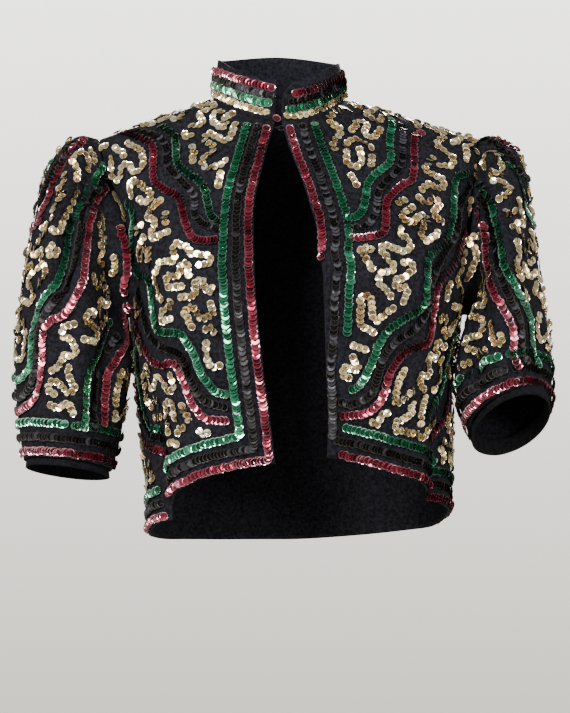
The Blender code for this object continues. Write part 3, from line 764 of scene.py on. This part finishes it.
def sew_edges():
    """Rows down both front edges and round the hem, which meet in nested corners."""
    edges = {}
    for side, way in (("right", -1), ("left", 1)):
        found = []
        for z in range(-34, -346, -6):
            for step in range(200):
                # Outwards from past the centre front, half a millimetre at a time
                start = Vector((4 + way * (step * 0.5 - 14), -400, z)) * MM
                spot = front[side].seen(start, Vector((0, 1, 0)))
                if spot:
                    found.append(spot)
                    break
        edges[side] = laid(front[side], found[::2], 4 * MM)
    keep_sewn(place for place, _ in edges["right"] + edges["left"])
    # An upright line in the middle of the hem
    low, high = (12, 4, -450), (12, 4, -200)
    turns = {"front_right": range(6, 80, 2), "back": range(50, 310, 3), "front_left": range(280, 354, 2)}
    hems = {}
    for piece in turns:
        points = panels[piece].rim(low, high, turns[piece], 1.0)
        hems[piece] = laid(panels[piece], points if piece == "back" else level_run(points), 4 * MM)
    hem_places = [place for piece in hems for place, _ in hems[piece]]
    edge_places = [place for side in edges for place, _ in edges[side]]
    for order, kind in enumerate(("red", "black", "green")):
        off = EDGE_GAP + order * ROW_STEP
        for side, way in (("right", -1), ("left", 1)):
            points = beside(front[side], edges[side], edge_gap(side, order), (way, 0, 0))
            points = clear_of(points, hem_places, off - 0.5)
            last = LEFT_ROWS_END[kind] if side == "left" else -400
            points = [p for p in points if p.z > last * MM]
            sew(kind, "fronts", row(kind, body, thinned(points)))
        for piece, hem in hems.items():
            clear = LEFT_HEM_STARTS[kind] if piece == "front_left" else off - 0.5
            points = clear_of(beside(body, hem, off, (0, 0, 1)), edge_places, clear)
            sew(kind, "hem", row(kind, body, thinned(points)))


def sew_collar():
    """Four rows round the stand collar, the lowest of gold."""
    # The line that the rim is looked for round is upright, in the middle of the neck
    seam = laid(collar, collar.rim((-4, -6, -45), (-4, -6, 60), range(4, 357, 3), 0.7), 3 * MM)
    for off, fall, kind, short in COLLAR_ROWS:

        def gap(place):
            # The stand is lower at the sides and back, and its left front's rows are sewn nearer the seam
            forward = np.interp(place.y / MM, [-50, -20, 20], [1, 0.7, 0])
            left_front = np.interp(place.x / MM, [0, 10], [0, 1]) * forward
            return off * np.interp(place.y / MM, [-62, -30], [1, 0.88]) - fall * left_front

        points = beside(collar, seam, gap, (0, 0, 1))
        points = points[3 : len(points) - short]
        sew(kind, "collar", laid(collar, thinned(points), SEQUINS[kind]["apart"] * MM, 0.2))
    # One red sequin covers the hook
    place = Vector(HOOK_SEQUIN) * MM
    rows[("red", "neck")] = [[(place, Vector((0, -0.97, 0.24)))]]


def sew_cuffs():
    """Three rows round each cuff."""
    for side in ("right", "left"):
        low, high = AXES[f"sleeve_{side}"]
        way = (high - low).normalized()
        # The look in starts 60 mm further down, since the cuff hangs lower than the axis
        low = (low - way * 0.06) / MM
        high = high / MM
        cuff = laid(sleeve[side], sleeve[side].rim(low, high, range(0, 366, 6), 0.8), 4 * MM)
        for off, kind in CUFF_ROWS:
            points = beside(sleeve[side], cuff, off, way)
            sew(kind, f"sleeve_{side}", row(kind, sleeve[side], thinned(points)))


def squiggle(outside, place, out, heading, most):
    """One meandering stroke of gold sequins from a place, until it would meet another row.

    It runs straight for up to a few sequins, then curls by 110 to 215 degrees, to one side and the other in
    turn. Where the next sequin would meet something, it is tried at turns further and further off.
    """
    step = SEQUINS["gold"]["apart"] * chance.uniform(0.82, 1.15) * MM
    line = [(place, out)]
    bend = chance.choice((-1, 1))
    until = chance.integers(2, 5)
    curl = 0.0
    length = chance.integers(8, most)
    while len(line) < length:
        if until <= 0:
            if curl == 0.0:
                curl = bend * chance.uniform(38, 62)
                until = int(chance.uniform(110, 215) / abs(curl))
                bend = -bend
            else:
                curl = 0.0
                until = chance.integers(0, 4)
        until -= 1
        for extra in (0, 22, -22, 45, -45, 75, -75):
            turn = Matrix.Rotation(math.radians(curl + extra), 3, out)
            tried = (turn @ heading).normalized()
            spot, normal = outside.settle(place + tried * step, out)
            if (spot - place).length < step * 0.8 or nearest_sewn(spot) < CLEAR * MM:
                continue
            if any((spot - other).length < CLEAR_OWN * MM for other, _ in line[:-4]):
                continue
            if len(line) > 1 and (spot - line[-2][0]).length < step * 1.25:
                continue
            break
        else:
            break
        heading = tried - normal * tried.dot(normal)
        heading.normalize()
        place, out = spot, normal
        line.append((place, out))
    return line


def panel_at(place):
    """Which of the three body panels a place lies on."""

    def away(panel):
        return (panels[panel].settle(place)[0] - place).length

    return min(panels, key=away)


def sew_squiggles(panel, outside, tries):
    """Gold strokes wherever a panel has room for them, the long ones first."""
    shares = np.cumsum(outside.sizes)
    for least, most, share in ((11, 34, 0.4), (3, 16, 0.6)):
        picks = np.searchsorted(shares, chance.uniform(0, shares[-1], int(tries * share)))
        for pick in picks:
            place, out = outside.settle(outside.middles[pick])
            if nearest_sewn(place) < CLEAR * MM:
                continue
            heading = out.orthogonal().normalized()
            heading = Matrix.Rotation(chance.uniform(0, math.tau), 3, out) @ heading
            line = squiggle(outside, place, out, heading, most)
            if len(line) >= least:
                sew("gold", panel or panel_at(place), line)


sew_edges()
sew_collar()
sew_cuffs()
sew_bands()
sew_squiggles(None, body, BODY_TRIES)
sew_squiggles("sleeve_right", sleeve["right"], SLEEVE_TRIES)
sew_squiggles("sleeve_left", sleeve["left"], SLEEVE_TRIES)


# The sequins themselves


def pressed_sequin(wide):
    """One sequin: a round blank with a narrow turned-up rim, a faintly dished face and a hole."""
    bpy.ops.object.select_all(action="DESELECT")
    bpy.ops.mesh.primitive_circle_add(vertices=SEQUIN_SIDES, radius=wide / 2 * MM, fill_type="NGON")
    blank = bpy.context.object
    bpy.ops.object.mode_set(mode="EDIT")
    bpy.ops.mesh.select_all(action="SELECT")
    bpy.ops.mesh.inset(thickness=wide * 0.09 * MM, depth=-wide * 0.04 * MM)
    bpy.ops.mesh.inset(thickness=wide * 0.32 * MM, depth=-wide * 0.016 * MM)
    bpy.ops.mesh.delete(type="FACE")
    bpy.ops.object.mode_set(mode="OBJECT")
    mesh = blank.data
    places = np.array([vertex.co[:] for vertex in mesh.vertices])
    faces = [list(face.vertices) for face in mesh.polygons]
    rims = [float(face.center.length > wide * 0.41 * MM) for face in mesh.polygons]
    bpy.data.objects.remove(blank)
    return places, faces, rims


def joined(name, places, faces, material, tones=None, rims=None):
    """One mesh of many copies of a few faces, which all have as many corners."""
    count, each = len(places), len(places[0])
    sides = len(faces[0])
    corners = (np.array(faces)[None] + np.arange(count)[:, None, None] * each).ravel()
    mesh = bpy.data.meshes.new(name)
    mesh.vertices.add(count * each)
    mesh.vertices.foreach_set("co", np.concatenate(places).ravel())
    mesh.loops.add(len(corners))
    mesh.loops.foreach_set("vertex_index", corners)
    mesh.polygons.add(len(corners) // sides)
    mesh.polygons.foreach_set("loop_start", np.arange(0, len(corners), sides))
    mesh.update(calc_edges=True)
    if tones is not None:
        tone = mesh.attributes.new("tone", "FLOAT", "FACE")
        tone.data.foreach_set("value", np.repeat(tones, len(faces)))
        rim = mesh.attributes.new("rim", "FLOAT", "FACE")
        rim.data.foreach_set("value", np.tile(rims, count))
    mesh.shade_flat()
    mesh.validate()
    mesh.materials.append(material)
    piece = bpy.data.objects.new(name, mesh)
    bpy.context.collection.objects.link(piece)
    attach(piece, "root")
    return piece


def sewn_piece(kind, panel, lines):
    """All the sequins of one kind on a part of the jacket, and the stitches that hold them."""
    size = SEQUINS[kind]
    wide = size["wide"]
    places, faces, rims = pressed_sequin(wide)
    # A stitch comes up through the hole and goes down past the rim
    run = ((0, -0.4), (wide * 0.33, -0.15), (wide * 0.53, 0.15))
    stitch = np.array([(side, along, up) for along, up in run for side in (-0.3, 0.3)]) * MM
    stitch_faces = [(0, 1, 3, 2), (2, 3, 5, 4)]
    discs, threads, tones = [], [], []
    for line in lines:
        drift = chance.normal(0, 0.12)
        swing = SWING * chance.uniform(0, 1) ** 2
        beat, phase = chance.uniform(0.1, 0.35), chance.uniform(0, math.tau)
        for step, (place, out) in enumerate(line):
            before, after = line[max(step - 1, 0)][0], line[min(step + 1, len(line) - 1)][0]
            along = after - before
            apart = along.length / MM / (2 if 0 < step < len(line) - 1 else 1)
            along = along - out * along.dot(out)
            if along.length < 1e-6:
                along = out.orthogonal()
            along.normalize()
            wave = swing * (0.5 + 0.5 * math.sin(phase + beat * step))
            # The closer they are sewn, the steeper they lean on each other
            lean = size["lean"] * 4.0 / max(apart, 2.5) + wave + chance.normal(0, size["stray"])
            lean = math.radians(np.clip(lean, 3, 60))
            tip = math.radians(chance.normal(0, size["stray"]))
            setting = Matrix((along, out.cross(along), out)).transposed()
            turned = setting @ Matrix.Rotation(-lean, 3, "Y") @ Matrix.Rotation(tip, 3, "X")
            disc = turned @ Matrix.Rotation(chance.uniform(0, math.tau), 3, "Z")
            thread = turned @ Matrix.Rotation(math.pi / 2 + chance.normal(0, 0.25), 3, "Z")
            high = size["high"] + 0.18 * wide * math.sin(lean)
            centre = place + out * (high * MM) + out.cross(along) * (chance.normal(0, 0.3) * MM)
            bent = places.copy()
            bent[:, 2] += chance.normal(0, 0.06) * places[:, 0] ** 2 / (wide / 2 * MM)
            discs.append(bent @ np.array(disc).T + np.array(centre))
            threads.append(stitch @ np.array(thread).T + np.array(centre))
            tones.append(float(np.clip(chance.normal(0.5, 0.27) + drift, 0, 1)))
    joined(f"{panel}_{kind}_sequins", discs, faces, FINISHES[kind], tones, rims)
    joined(f"{panel}_{kind}_stitches", threads, stitch_faces, THREAD)


for (kind, panel), lines in rows.items():
    sewn_piece(kind, panel, lines)


# Stage, light and camera


# What is seen behind the jacket, and the room that its sequins mirror, from straight down to straight up
# Below the camera's level the backdrop's colours are darker: painted shade on an evenly pale plaster wall
BACKDROP = ((0.0, "#9a958e"), (0.43, "#a09b94"), (0.5, "#c8c4bd"),
            (0.57, "#f6f4f0"), (0.7, "#f8f7f4"), (1, "#f8f7f4"))
ROOM = ((0.0, "#1b1a19"), (0.38, "#45423f"), (0.5, "#8a867f"),
        (0.64, "#b3aea6"), (0.82, "#8f8c88"), (1, "#6d6b67"))
BACKDROP_LIGHT = 3.3
ROOM_LIGHT = 1.15
# Each lamp's place, size in metres and watts, all aimed at the middle of the jacket
LAMPS = (
    ("key softbox", (-0.9, -2.2, 0.9), 0.9, 120),
    ("fill softbox", (1.5, -2.0, 0.15), 0.6, 42),
    ("right side softbox", (-2.1, -0.7, 0.3), 0.6, 34),
    ("left side softbox", (2.1, -0.5, 0.4), 0.6, 20),
    ("back softbox", (0.6, 2.1, 0.9), 0.9, 80),
)
AIM = Vector((0, 0, -0.2))
# The floor is as far below the neck as when the jacket is worn
FLOOR_PLACE = (0, 0, -1.38)
FLOOR_RADIUS = 1.6
SENSOR = 24


def stand_in_studio():
    """A round of pale floor, a pale room and five soft lamps."""
    select_only(None)
    bpy.ops.mesh.primitive_circle_add(
        vertices=96, radius=FLOOR_RADIUS, fill_type="NGON", location=FLOOR_PLACE
    )
    floor = bpy.context.object
    floor.name = "floor"
    # Matt background paper, hardly uneven
    floor.data.materials.append(mottled("pale paper floor", "#dad7d0", "#dedbd4", 6.0, 0.9))
    # The backdrop is pale plaster, and the rest of the room, which the sequins mirror, is dimmer
    world = bpy.data.worlds.new("pale room")
    bpy.context.scene.world = world
    world.use_nodes = True
    tree = world.node_tree
    direction = add_node(tree, "ShaderNodeTexCoord").outputs["Generated"]
    parts = add_node(tree, "ShaderNodeSeparateXYZ", Vector=direction)
    whole = {"From Min": -1.0, "From Max": 1.0}
    height = add_node(tree, "ShaderNodeMapRange", whole, Value=parts.outputs["Z"])
    for stops, strength in ((BACKDROP, BACKDROP_LIGHT), (ROOM, ROOM_LIGHT)):
        shades = add_node(tree, "ShaderNodeValToRGB", Fac=height.outputs["Result"])
        for place, code in stops[:-1]:
            stop = shades.color_ramp.elements[0] if place == 0.0 else shades.color_ramp.elements.new(place)
            stop.color = to_linear(code)
        shades.color_ramp.elements[-1].color = to_linear(stops[-1][1])
        glow = tree.nodes["Background"] if stops is BACKDROP else add_node(tree, "ShaderNodeBackground")
        tree.links.new(shades.outputs["Color"], glow.inputs["Color"])
        glow.inputs["Strength"].default_value = strength
    # Camera rays see the backdrop with its painted shade, and all other rays see the room
    shown = add_node(tree, "ShaderNodeLightPath").outputs["Is Camera Ray"]
    mixed = add_node(tree, "ShaderNodeMixShader", Fac=shown)
    tree.links.new(glow.outputs["Background"], mixed.inputs[1])
    tree.links.new(tree.nodes["Background"].outputs["Background"], mixed.inputs[2])
    tree.links.new(mixed.outputs["Shader"], tree.nodes["World Output"].inputs["Surface"])
    for name, place, size, watts in LAMPS:
        lamp = bpy.data.lights.new(name, "AREA")
        lamp.size = size
        lamp.energy = watts
        light = bpy.data.objects.new(name, lamp)
        bpy.context.collection.objects.link(light)
        light.location = place
        light.rotation_euler = (AIM - Vector(place)).to_track_quat("-Z", "Y").to_euler()


def set_camera():
    """As the photograph was taken: level and square to the front."""
    eye = bpy.data.cameras.new("camera")
    eye.sensor_fit = "VERTICAL"
    eye.sensor_height = SENSOR
    eye.lens = SENSOR * DISTANCE / TAKES_IN
    camera = bpy.data.objects.new("camera", eye)
    bpy.context.collection.objects.link(camera)
    camera.location = SIGHT
    camera.rotation_euler = (math.pi / 2, 0, 0)
    bpy.context.scene.camera = camera


stand_in_studio()
set_camera()
